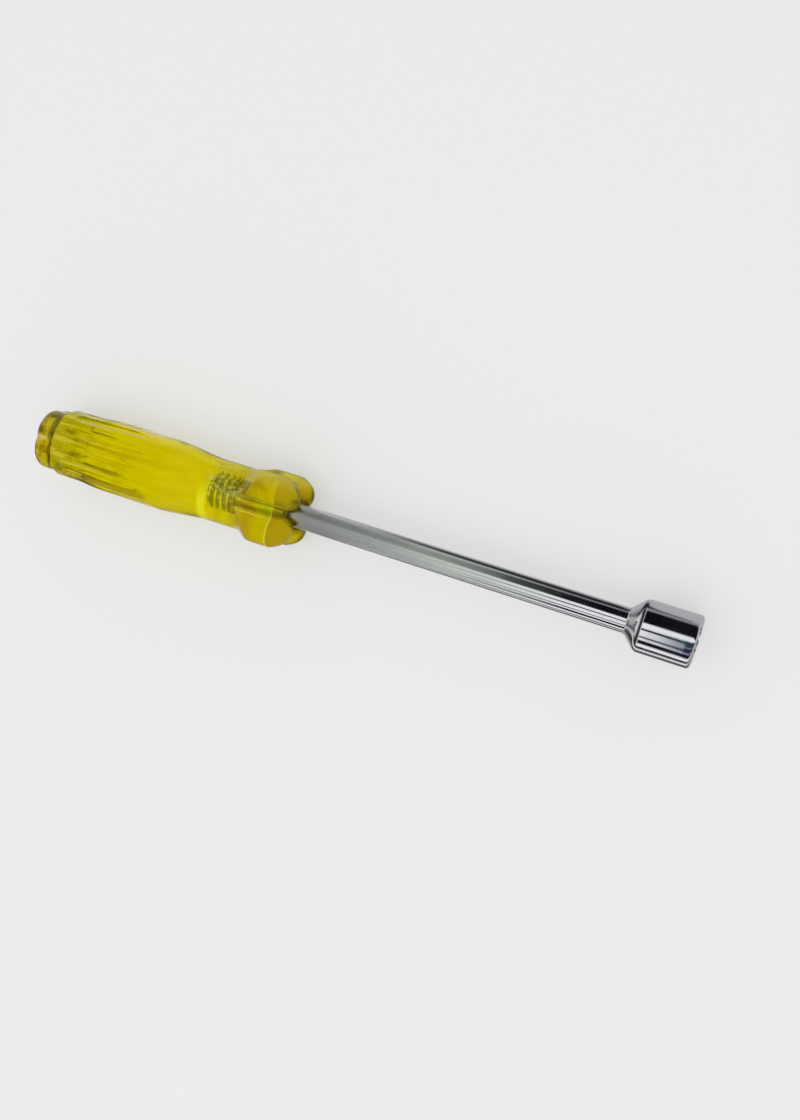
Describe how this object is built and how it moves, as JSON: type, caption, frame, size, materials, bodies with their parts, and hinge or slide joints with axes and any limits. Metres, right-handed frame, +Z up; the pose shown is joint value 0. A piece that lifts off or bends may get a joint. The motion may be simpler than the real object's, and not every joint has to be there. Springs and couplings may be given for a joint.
{
  "type": "nut driver",
  "caption": "Straight socket wrench for hex nuts: plated socket head on a round shaft, set in a clear moulded handle with flutes, a slim neck and a lobed bolster.",
  "frame": {"origin": "centre of the socket's mouth, on the tool's axis", "axes": "+X along the tool's axis and out of the socket's mouth, +Z up as the tool lies on two lobes of its bolster"},
  "size_m": [0.214, 0.0228, 0.0228],
  "materials": {
    "plated_socket": "bright nickel-chrome plating",
    "plated_shaft": "nickel-chrome plating, satin near the handle",
    "clear_yellow": "clear glossy cellulose plastic",
    "clear_amber": "clear glossy cellulose plastic, browner"
  },
  "bodies": {
    "root": {"socket_head": "plated_socket", "shaft": "plated_shaft", "grip_handle": "clear_yellow", "butt_cap": "clear_amber"}
  },
  "joints": []
}
